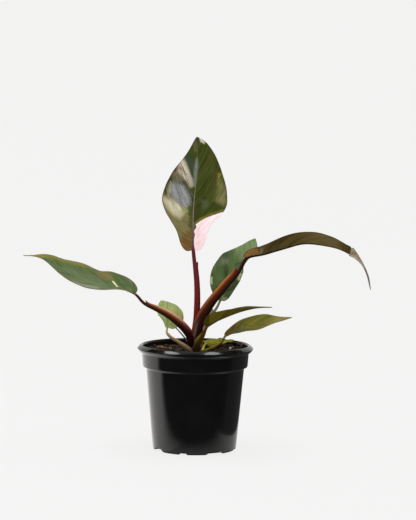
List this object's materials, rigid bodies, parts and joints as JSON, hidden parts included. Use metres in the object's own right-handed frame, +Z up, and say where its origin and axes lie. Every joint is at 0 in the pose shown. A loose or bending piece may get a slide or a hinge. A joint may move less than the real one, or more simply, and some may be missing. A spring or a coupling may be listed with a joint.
{
  "type": "potted philodendron",
  "caption": "Leafy houseplant with dark green and pink leaves on sheathed stalks, rooted in soil in a round black nursery pot.",
  "frame": {"origin": "centre of the pot's flat underside", "axes": "+Z up along the pot's axis, +X to the right and -Y towards the front"},
  "size_m": [0.3536, 0.12, 0.3221],
  "materials": {
    "black_plastic": "satin",
    "potting_mix": "matte",
    "stem_skin": "satin",
    "crimson_stalk": "satin",
    "red_brown_stalk": "satin",
    "striped_stalk": "satin",
    "green_stalk": "satin",
    "dry_sheath": "matte",
    "dark_green_blade": "satin",
    "bronze_blade": "satin",
    "green_blade": "satin",
    "olive_blade": "satin",
    "pale_blade": "satin",
    "lime_blade": "satin"
  },
  "bodies": {
    "root": {"pot": "black_plastic", "soil": "potting_mix", "stem": "stem_skin", "upright_petiole": "crimson_stalk", "upright_blade": "dark_green_blade", "right_petiole": "red_brown_stalk", "right_blade": "bronze_blade", "left_petiole": "red_brown_stalk", "left_blade": "green_blade", "back_petiole": "striped_stalk", "back_blade": "green_blade", "upper_low_petiole": "green_stalk", "upper_low_blade": "olive_blade", "lower_low_petiole": "green_stalk", "lower_low_blade": "olive_blade", "pale_petiole": "dry_sheath", "pale_blade": "pale_blade", "lime_petiole": "green_stalk", "lime_blade": "lime_blade", "dry_stalk": "green_stalk"}
  },
  "joints": []
}
